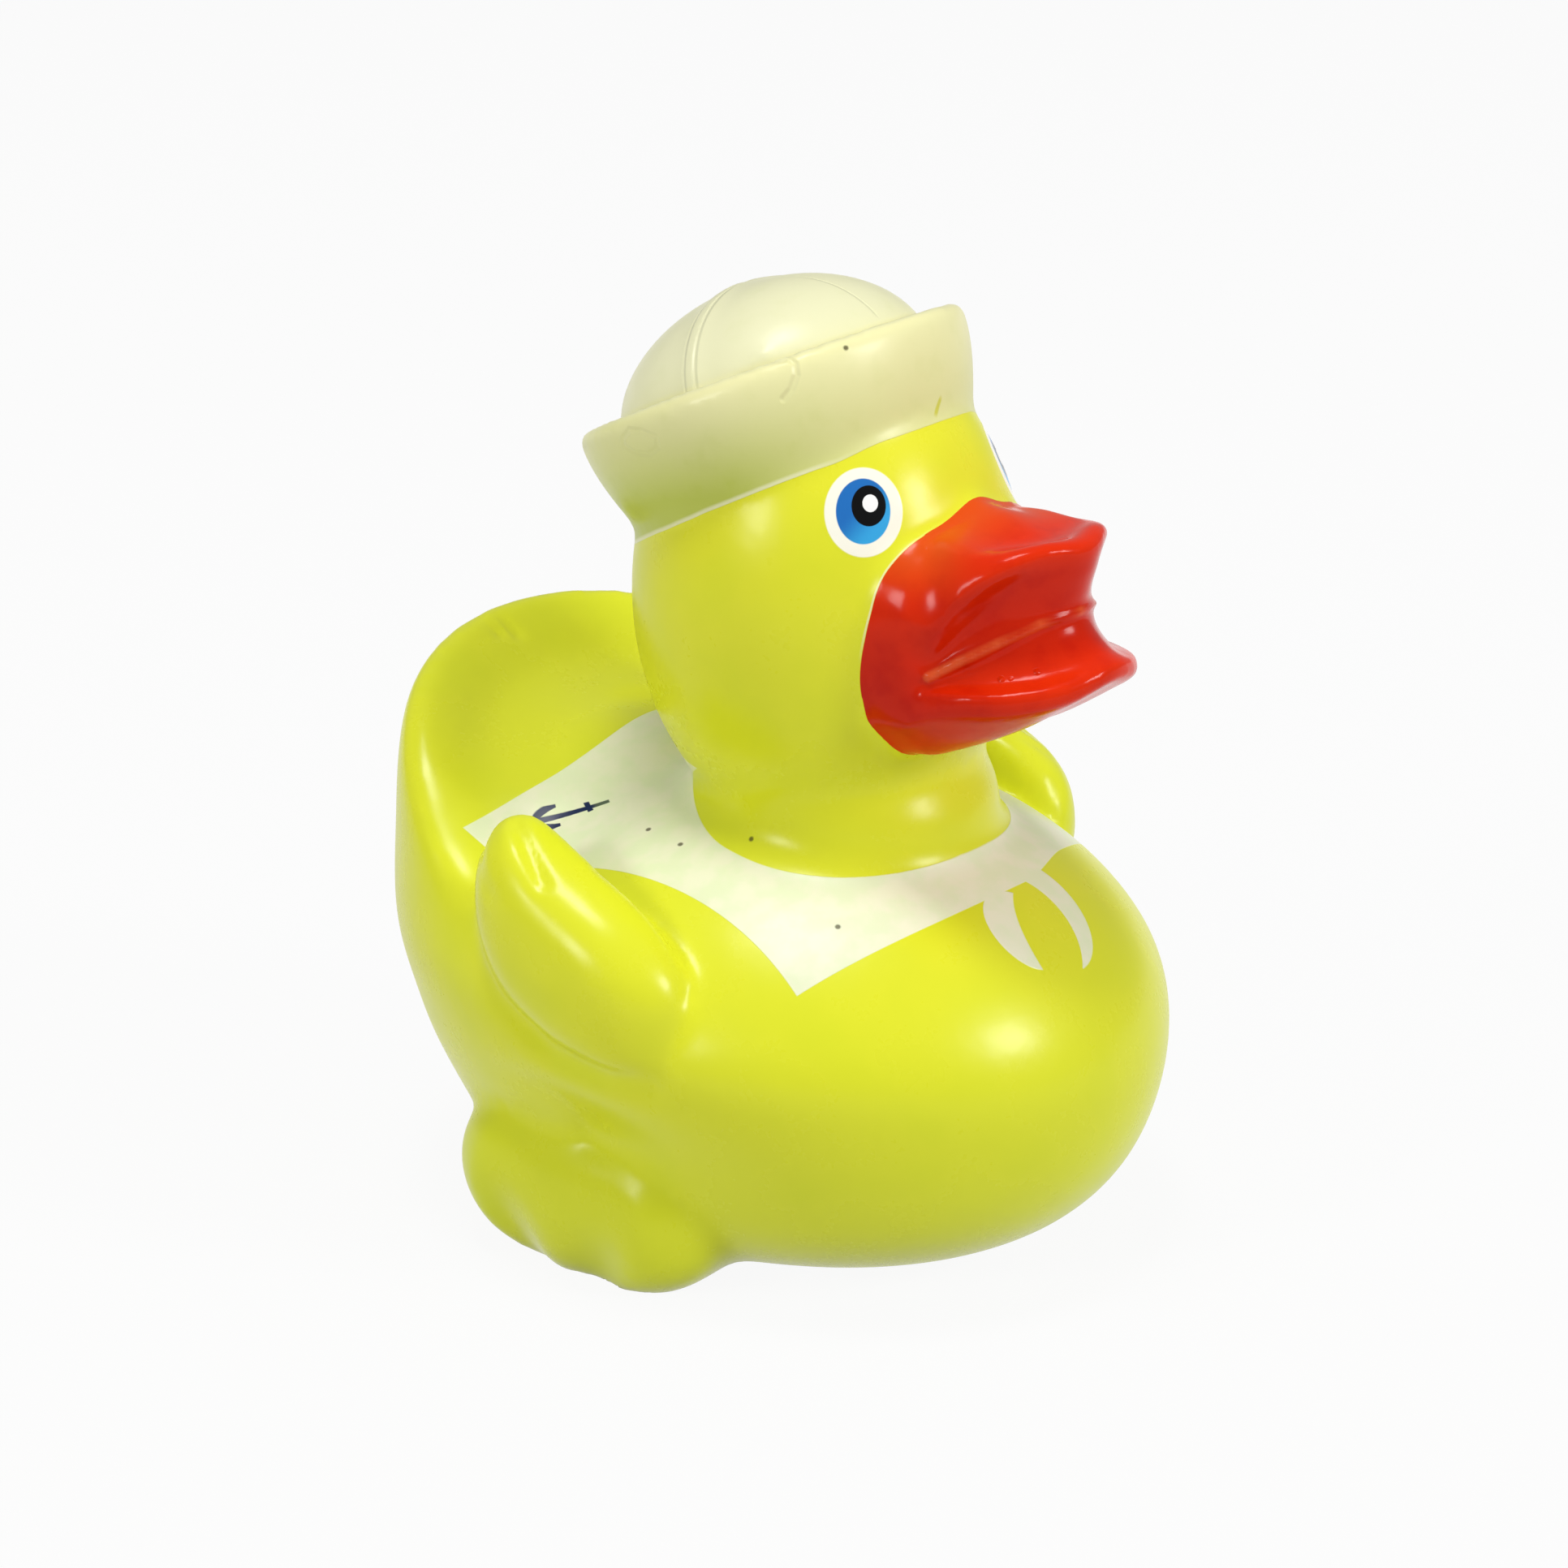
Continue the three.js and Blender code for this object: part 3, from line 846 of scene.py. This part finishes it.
# %% Masks of the hat and the bill
hat_height = dot(place, (0, sin(HAT_LEAN), cos(HAT_LEAN))) - (HAT_Y * sin(HAT_LEAN) + HAT_Z * cos(HAT_LEAN))
edge_wander = (noise(5) - 0.5) * 0.3
hat_across = dot(place, (0, cos(HAT_LEAN), -sin(HAT_LEAN))) - (HAT_Y * cos(HAT_LEAN) - HAT_Z * sin(HAT_LEAN))
hat_edge = hat_height + edge_wander * 0.6 + ramp(y, -14, 10) * 0.75 + ramp(y, -15.5, -13) * 0.4 - 0.3
hat_mask = above(hat_edge, -0.2)
hat_line = hat_mask * below(hat_edge, 0.12, 0.25) * ramp(y, -15, -11)

BILL_EDGE_Z = 56.8
BILL_EDGE_WIDTH = 11.7
BILL_EDGE_RISE = 10.8
FACE_Y = -13
FACE_Z = (44.5, 70.5)
bill_up = (z - BILL_EDGE_Z) / BILL_EDGE_RISE
bill_wide = (1 - ramp(bill_up, -0.3, 0.4) * 0.11) * BILL_EDGE_WIDTH
bill_round = root(bill_up**2 + (side / bill_wide) ** 2 + 0.0001)
on_face = below(y, FACE_Y) * above(z, FACE_Z[0]) * below(z, FACE_Z[1])
head_out = root((x / (HEAD_DIAMETER / 2)) ** 2 + ((y - HEAD_Y) / (HEAD_DIAMETER / 2)) ** 2
                + ((z - HEAD_Z) / (HEAD_HEIGHT / 2)) ** 2)
bill_out = bill_round - most(head_out - 1.015, 0) * 6 + edge_wander * 0.03
bill_mask = below(bill_out, 1, 0.012) * on_face
bill_line = below(abs(bill_out - 1.025), 0.02, 0.02) * on_face
bill_line = bill_line * ramp(bill_up, -0.1, 0.3) * (1 - ramp(bill_up, 0.7, 0.95))
print("nodes with the hat and the bill", len(tree.nodes))

# %% [markdown]
# The neckerchief is cut out as seen from above: a square collar at the back, two long points in front and a round
# hole for the neck. Each ribbon of the knot is a disc with another disc taken away.

# %% Masks of the neckerchief
COLLAR_SIDE = 19.8
COLLAR_BACK = 15.3
COLLAR_FRONT = -24.6
NECK_HOLE = 14.9
collar = below(side - (y - 1) ** 2 * 0.0052 - ramp(y, 8, 16) * 0.7, COLLAR_SIDE)
collar = collar * below(y - side**2 * 0.006, COLLAR_BACK)
collar = collar * above(y - side**2 * 0.0132 - ramp(x, 2, 12) * 1.2, COLLAR_FRONT)
neck_ahead = least(y - NECK_Y, 0) * 1.12 + most(y - NECK_Y, 0)
from_neck = root(x**2 + neck_ahead**2)
on_shoulders = above(z, 24) * below(z, 43.2)
collar_mask = collar * above(from_neck + ramp(y, -5, 4) * 1.1, NECK_HOLE) * on_shoulders


def disc(centre_x, centre_y, radius):
    """1 inside a circle as seen from above."""
    return below(root((x - centre_x) ** 2 + (y - centre_y) ** 2), radius)


ribbon_left = disc(-2.4, -27.5, 3.3) * (1 - disc(3.58, -31.06, 7.14)) * below(x, 1)
ribbon_right = disc(0.47, -26.2, 5.5) * (1 - disc(-2.01, -27.34, 5.14)) * above(x, 0.8)
ribbons = most(ribbon_left, ribbon_right) * below(y, -23.4) * on_shoulders
collar_mask = most(collar_mask, ribbons)
print("nodes with the neckerchief", len(tree.nodes))

# %% [markdown]
# The anchor is measured along its shank and across it. It has a shank, a stock and two bent arms, and its paint is
# worn towards the upper end.

# %% Mask of the anchor
ANCHOR_CROWN = Vector((-16.83, 14.35, 0))
ANCHOR_ALONG = Vector((0.803, -0.597, 0))
ANCHOR_ACROSS = Vector((0.597, 0.803, 0))
ANCHOR_LENGTH = 6.55
ANCHOR_LINE = 0.25
u = dot(place, ANCHOR_ALONG) - ANCHOR_CROWN.dot(ANCHOR_ALONG)
v = dot(place, ANCHOR_ACROSS) - ANCHOR_CROWN.dot(ANCHOR_ACROSS)
shank = below(abs(v + u * 0.04), ANCHOR_LINE) * above(u, 0) * below(u, ANCHOR_LENGTH)
stock = below(abs(u - 4.7 + v * 0.1), ANCHOR_LINE) * below(abs(v + 0.1), 0.65)
arms = below(abs(u - v**2 * 1.75) / root(v**2 * 12.25 + 1), ANCHOR_LINE * 1.25)
arms = arms * below(abs(v), 1.1) * below(u, 2)
anchor_mask = most(most(shank, stock), arms) * on_shoulders * below(x, 0)
anchor_worn = ramp(u, 4.9, 5.6)

# %% [markdown]
# Eyes. Each is printed flat on the head, in four ovals: white, blue iris, black pupil and a white glint. The
# place is measured along two directions that touch the head there, and its mirror image makes the other eye.

# %% Masks of the eyes
EYE = Vector((9.6, -16.1, 68.3))
EYE_FACING = Vector((0.6, -0.7, 0.385)).normalized()
EYE_ACROSS = EYE_FACING.cross(Vector((0, 0, 1))).normalized()
EYE_UP = EYE_ACROSS.cross(EYE_FACING)
EYE_TILT = radians(-7)
across = dot(mirrored, EYE_ACROSS) - EYE.dot(EYE_ACROSS)
upward = dot(mirrored, EYE_UP) - EYE.dot(EYE_UP)
depth = dot(mirrored, EYE_FACING) - EYE.dot(EYE_FACING)
near_eye = below(abs(depth), 5) * below(hat_height, -0.6)
print("eye directions", EYE_ACROSS, EYE_UP)


def oval(centre_across, centre_up, half_across, half_up):
    a = across - centre_across
    b = upward - centre_up
    tilted_a = (a * cos(EYE_TILT) + b * sin(EYE_TILT)) / half_across
    tilted_b = (b * cos(EYE_TILT) - a * sin(EYE_TILT)) / half_up
    return below(root(tilted_a**2 + tilted_b**2), 1, 0.03) * near_eye


eye_white = oval(-0.15, 0.05, 3.3, 3.75)
eye_iris = oval(-0.2, 0.12, 2.3, 2.75)
eye_pupil = oval(0.28, 0.55, 1.46, 1.72)
eye_glint = oval(0.42, 0.75, 0.66, 0.74)

# %% [markdown]
# Lines and spots are masks of distance. The distance from a path is the least of the distances from its straight
# parts. The first of them is the bead along the mouth, which gets a painted highlight: a lighter orange along it.

# %% Distance from lines and spots
def off_path(point, path):
    """Distance of a place from a path of straight lines through some points."""
    nearest = None
    for a, b in zip(path, path[1:]):
        span = b - a
        share = 1 / span.length_squared
        along = maths("MULTIPLY_ADD", dot(point, span), share, -a.dot(span) * share, clamp=True)
        on_line = node("ShaderNodeVectorMath", {"operation": "MULTIPLY_ADD"}, {0: span, 1: along, 2: a})
        off = distance(point, on_line)
        nearest = least(nearest, off) if nearest else off
    return nearest


def off_spots(spots):
    nearest = distance(place, spots[0])
    for spot in spots[1:]:
        nearest = least(nearest, distance(place, spot))
    return nearest


on_bead = 1 - ramp(off_path(mirrored, [on_mouth(*rib) for rib in MOUTH_RIBS]), 0.2, 0.6)

# %% [markdown]
# The layers are laid over each other in the order in which they are sprayed and printed. Each has a colour that
# wanders a little, a gloss of its own and a thin edge that the light catches.

# %% Colour of the vinyl
cloudy = noise(9)
grain = noise(0.7, 3.0)
mottle = noise(2.5, 3.0)

YELLOW = srgb(226, 230, 44)
YELLOW_WARM = srgb(235, 232, 50)
GREEN_SHADE_AND_CLOUD = srgb(212, 223, 34)
colour = mixed(ramp(z, 45, 75) * 0.7, YELLOW, YELLOW_WARM)
# Painted shade: the yellow turns darker and greener towards the bottom. The cloudy patches of that colour are the
# vinyl's own uneven tone.
colour = mixed((1 - ramp(z, 0, 30)) * 0.45 + ramp(cloudy, 0.45, 0.7) * 0.25, colour, GREEN_SHADE_AND_CLOUD)

# %% Colour of the hat
CROWN_CREAM = srgb(236, 235, 192)
BRIM_CREAM = srgb(243, 239, 180)
HAT_SHADE = srgb(192, 202, 86)
HAT_LINE = srgb(238, 238, 188)
# Painted shade: the hat turns darker and olive low on the brim and towards the back, less so at the front. The mottle
# in it is the paint's own uneven tone.
brim_low = 1 - ramp(hat_height, -1.5, 9.5)
brim_rear = ramp(hat_across, -9, 9) * below(hat_height, BRIM_HEIGHT, 1.0)
brim_shade_and_mottle = brim_low * (1 - ramp(-y, 5, 17) * 0.65) + brim_rear * 0.25 + ramp(mottle, 0.5, 0.8) * 0.08
hat_colour = mixed(below(hat_height, BRIM_HEIGHT, 1.0), CROWN_CREAM, BRIM_CREAM)
hat_colour = mixed(least(brim_shade_and_mottle, 1), hat_colour, HAT_SHADE)
hat_colour = mixed(hat_line * 0.9, hat_colour, HAT_LINE)
colour = mixed(hat_mask, colour, hat_colour)

# %% Colours of the neckerchief and the anchor
COLLAR_WHITE = srgb(232, 240, 200)
COLLAR_WARM = srgb(240, 241, 210)
collar_colour = mixed(ramp(mottle, 0.35, 0.65), COLLAR_WHITE, COLLAR_WARM)
colour = mixed(collar_mask, colour, collar_colour)
NAVY = srgb(0, 28, 76)
NAVY_WORN = srgb(80, 96, 74)
colour = mixed(anchor_mask, colour, mixed(anchor_worn, NAVY, NAVY_WORN))

# %% Colour of the bill
BILL_RED = srgb(224, 46, 8)
BILL_ORANGE = srgb(226, 84, 20)
BILL_SHADE_AND_MOTTLE = srgb(188, 16, 0)
BILL_THIN = srgb(224, 138, 84)
BILL_BEAD_HIGHLIGHT = srgb(246, 120, 64)
BILL_RIM = srgb(246, 240, 190)
# Painted shade: darker red in the fold of the mouth, and low on the sides of the bill. The mottle is the paint's own
# uneven tone.
mouth_floor = 57 - side**3 * 0.0022
mouth_roof = 65.2 - side**3 * 0.0028
mouth_shade = above(z, mouth_floor, 1.6) * below(z, mouth_roof, 1.8) * below(y, -22, 4)
bill_shade = most(mouth_shade * 0.45, ramp(side, 6, 12) * (1 - ramp(bill_up, -0.2, 0.6)) * 0.6)
bill_colour = mixed(least(bill_shade + ramp(mottle, 0.45, 0.7) * 0.2, 1), BILL_RED, BILL_SHADE_AND_MOTTLE)
bill_colour = mixed(ramp(bill_up, 0.4, 0.85) * ramp(y, -27, -20) * 0.9, bill_colour, BILL_ORANGE)
bill_colour = mixed((1 - ramp(bill_up, -0.97, -0.82)) * (1 - ramp(y, -23, -19)) * 0.85, bill_colour, BILL_THIN)
# Painted highlight: a lighter orange along the bead of the mouth.
bill_colour = mixed(on_bead * 0.5, bill_colour, BILL_BEAD_HIGHLIGHT)
colour = mixed(bill_line * 0.8, colour, BILL_RIM)
colour = mixed(bill_mask, colour, bill_colour)

# %% Colours of the eyes
EYE_WHITE = srgb(254, 252, 234)
IRIS_DARK = srgb(34, 112, 190)
IRIS_LIGHT = srgb(56, 168, 228)
PUPIL_BLACK = srgb(3, 3, 5)
GLINT_WHITE = srgb(250, 250, 248)
colour = mixed(eye_white, colour, EYE_WHITE)
colour = mixed(eye_iris, colour, mixed(ramp(across - upward, -1.5, 2.5), IRIS_DARK, IRIS_LIGHT))
colour = mixed(eye_pupil, colour, PUPIL_BLACK)
colour = mixed(eye_glint, colour, GLINT_WHITE)
print("nodes with the colours", len(tree.nodes))

# %% [markdown]
# Small marks of use and making: dark specks in the vinyl, and a yellow scuff where the hat's paint is rubbed
# through.

# %% Specks and scuffs
SPECKS = [
    (-14.9, 3.2, 37.7), (-15.7, -1.0, 37.5), (-13.7, -7.1, 38.8), (-15.7, -18.0, 33.9),
    (-25.5, -7.1, 7.6), (-7.6, 14.6, 40.8), (-7.9, -12.7, 81.5),
]
SPECK_RADIUS = 0.24
SPECK_BROWN = srgb(70, 62, 20)
SCUFF = (0.65, -15.8, 75.2)
SCUFF_YELLOW = srgb(206, 204, 40)
specks = below(off_spots(SPECKS), SPECK_RADIUS, 0.14)
colour = mixed(specks * 0.85, colour, SPECK_BROWN)
scuff = below(distance(place, SCUFF), 0.9, 0.5) * below(abs(x * 0.703 - z * 0.711 + 53.01), 0.2, 0.15)
colour = mixed(scuff * hat_mask * 0.8, colour, SCUFF_YELLOW)
print("specks", len(SPECKS))

# %% [markdown]
# Relief that is too fine for the mesh becomes bump: a fold and an oval mark on the brim, drawn as if the brim were
# rolled out flat, and bubbles in the bill's paint.

# %% Fine lines on the hat, and bubbles in the bill's paint
# turn about the hat's axis in degrees from the front, and height
HAT_FOLD = [(-48, 9.3), (-44.5, 9.1), (-43.2, 8.5), (-43.9, 7.6), (-46.6, 6.6), (-49.5, 6.1)]
HAT_OVAL = [(-101, 7.6), (-97, 8.1), (-92.5, 7.6), (-88.5, 6.7), (-89.5, 5.9), (-94, 5.6), (-99, 6.2), (-101.8, 7.0)]
HAT_MARKS = [(HAT_FOLD, 0.45, 0.13), (HAT_OVAL + HAT_OVAL[:1], 0.36, 0.07)]
BUBBLES = [
    (-9.3, -25.6, 55.6), (-9.0, -26.4, 54.3), (-7.2, -28.4, 55.6), (-6.6, -29.0, 55.5), (-5.2, -30.6, 56.2),
]


hat_arc = maths("ARCTAN2", x, -hat_across) * (BRIM_TOP_DIAMETER / 2)
unrolled = node("ShaderNodeCombineXYZ", None, {0: hat_arc, 1: hat_height})
on_brim = above(root(x**2 + hat_across**2), 15.6, 0.6)


def path_near(path, width):
    """1 on a path of (turn, height) points on the brim, falling to 0 at the width."""
    points = [Vector((radians(turn) * BRIM_TOP_DIAMETER / 2, height, 0)) for turn, height in path]
    return (1 - ramp(off_path(unrolled, points), 0, width)) * on_brim


# %% [markdown]
# The surface. Vinyl has a soft sheen and the bill's paint is a glossier lacquer, so each has its own shader, and the
# bill's mask chooses between them. Edges of paint, seams and marks are a faint relief.

# %% Roughness
VINYL_ROUGHNESS = 0.28
BILL_ROUGHNESS = 0.17
roughness = (cloudy - 0.5) * 0.12 + (grain - 0.5) * 0.03 + VINYL_ROUGHNESS
roughness = roughness + hat_mask * 0.04 + collar_mask * 0.04 - eye_white * 0.1
bill_roughness = (mottle - 0.5) * 0.08 + BILL_ROUGHNESS

# %% Relief
paint_edge = (hat_mask + collar_mask + bill_mask + eye_white * 0.5 + anchor_mask * 0.3) * 0.03
seam = side * 0.174 + hat_across * 0.985
on_crown = above(hat_height, BRIM_HEIGHT, 0.5) * ramp(side, 1, 5)
seam_lines = most(1 - ramp(abs(seam - 0.55), 0, 0.28), 1 - ramp(abs(seam + 0.55), 0, 0.28)) * on_crown
front_seam = (1 - ramp(abs(x - 0.2), 0, 0.25)) * above(hat_height, BRIM_HEIGHT + 0.8, 0.5) * ramp(-hat_across, 4, 8)
seam_lines = most(seam_lines, front_seam * 0.7)
hat_marks = 0
for path, width, depth in HAT_MARKS:
    hat_marks = most(hat_marks, path_near(path, width) * depth)
bubbles = (1 - ramp(off_spots(BUBBLES), 0, 0.4)) * 0.16
relief = (noise(4) - 0.5) * 0.04 + (grain - 0.5) * 0.004 + paint_edge + bubbles - seam_lines * 0.09 - hat_marks
bump = node("ShaderNodeBump", None, {"Strength": 1.0, "Distance": MM, "Height": relief})

# %% The two shaders
IOR = 1.45
VINYL_SPECULAR = 0.34
LACQUER_SPECULAR = 0.16
vinyl = node(
    "ShaderNodeBsdfPrincipled", None,
    {"Base Color": colour, "Roughness": roughness, "Normal": bump, "IOR": IOR, "Specular IOR Level": VINYL_SPECULAR},
)
lacquer = node(
    "ShaderNodeBsdfPrincipled", None,
    {
        "Base Color": colour, "Roughness": bill_roughness, "Normal": bump, "IOR": IOR,
        "Specular IOR Level": LACQUER_SPECULAR,
    },
)
surface = node("ShaderNodeMixShader", None, {0: bill_mask, 1: vinyl, 2: lacquer})
output = tree.nodes.new("ShaderNodeOutputMaterial")
tree.links.new(surface.socket, output.inputs["Surface"])
duck.data.materials.append(material)
print("nodes in the paint", len(tree.nodes))

# %% [markdown]
# The stage: a pale floor that is plain white where it is seen, and takes the duck's shadow.

# %% Floor
FLOOR_SIZE = 3
FLOOR_GREY = (0.62, 0.62, 0.62, 1)
FLOOR_PLAIN = 0.93
WHITE = (1, 1, 1, 1)


def stage_floor():
    bm = bmesh.new()
    bmesh.ops.create_grid(bm, x_segments=1, y_segments=1, size=FLOOR_SIZE)
    mesh = bpy.data.meshes.new("floor")
    bm.to_mesh(mesh)
    bm.free()
    floor = bpy.data.objects.new("floor", mesh)
    bpy.context.scene.collection.objects.link(floor)
    return floor


floor = stage_floor()
material = bpy.data.materials.new("pale_floor")
material.use_nodes = True
tree = material.node_tree
tree.nodes.clear()
rays = tree.nodes.new("ShaderNodeLightPath")
plain = most(Field(rays.outputs["Is Camera Ray"]), Field(rays.outputs["Is Glossy Ray"]))
plain = most(plain, Field(rays.outputs["Is Transmission Ray"]))
matt = node("ShaderNodeBsdfDiffuse", None, {0: FLOOR_GREY})
glow = node("ShaderNodeEmission", None, {0: WHITE, 1: 1.0})
floor_mix = node("ShaderNodeMixShader", None, {0: plain * FLOOR_PLAIN, 1: matt, 2: glow})
output = tree.nodes.new("ShaderNodeOutputMaterial")
tree.links.new(floor_mix.socket, output.inputs["Surface"])
floor.data.materials.append(material)

# %% [markdown]
# Light: an even white sky and three softboxes, above the duck and on both sides of the camera. The camera's place was
# found by fitting the outlines of hat, head, hull and feet to the photograph, and the softboxes are placed from it.

# %% Sky
SKY_LIGHT = 0.34
world = bpy.data.worlds.new("studio")
world.use_nodes = True
bpy.context.scene.world = world
tree = world.node_tree
tree.nodes.clear()
rays = tree.nodes.new("ShaderNodeLightPath")
plain = most(Field(rays.outputs["Is Camera Ray"]), Field(rays.outputs["Is Transmission Ray"]))
sky = node("ShaderNodeBackground", None, {0: WHITE, 1: plain * (1 - SKY_LIGHT) + SKY_LIGHT})
output = tree.nodes.new("ShaderNodeOutputWorld")
tree.links.new(sky.socket, output.inputs["Surface"])

# %% Softboxes
AZIMUTH = radians(-52)
ELEVATION = radians(19)
DISTANCE = 450 * MM
TARGET = Vector((0, 0, 38.5)) * MM
back = Vector((sin(AZIMUTH) * cos(ELEVATION), -cos(AZIMUTH) * cos(ELEVATION), sin(ELEVATION)))
right = Vector((cos(AZIMUTH), sin(AZIMUTH), 0))
up = back.cross(right)


def lamp(name, direction, reach, size, power):
    """A square softbox that shines at the middle of the duck from a direction."""
    light = bpy.data.lights.new(name, "AREA")
    light.size = size
    light.energy = power
    holder = bpy.data.objects.new(name, light)
    bpy.context.scene.collection.objects.link(holder)
    holder.location = TARGET + direction.normalized() * reach
    holder.rotation_euler = direction.to_track_quat("Z", "Y").to_euler()


# name, direction, distance and size in metres, power in watts
LAMPS = [
    ("top", back * 0.5 - right * 0.1 + up * 1.15, 0.9, 0.22, 3.3),
    ("left", back * 0.9 - right * 0.85 + up * 0.25, 0.95, 0.2, 2.3),
    ("right", back * 0.7 + right * 1.1 + up * 0.4, 1.0, 0.25, 4.2),
]
for settings in LAMPS:
    lamp(*settings)
print("lamps", [name for name, *_ in LAMPS])

# %% [markdown]
# The camera. Its lens follows from how many pixels of the photograph a millimetre of the duck takes up.

# %% Camera
PIXELS = 1932
PIXELS_PER_MM = 14
SENSOR_WIDTH = 36
camera_data = bpy.data.cameras.new("camera")
camera_data.sensor_width = SENSOR_WIDTH
camera_data.lens = PIXELS_PER_MM * DISTANCE / MM * SENSOR_WIDTH / PIXELS
camera = bpy.data.objects.new("camera", camera_data)
bpy.context.scene.collection.objects.link(camera)
facing = Matrix((right, up, back)).transposed().to_4x4()
camera.matrix_world = Matrix.Translation(TARGET + back * DISTANCE) @ facing
bpy.context.scene.camera = camera
bpy.context.scene.view_settings.view_transform = "Standard"
print("lens", round(camera_data.lens, 1), "mm")
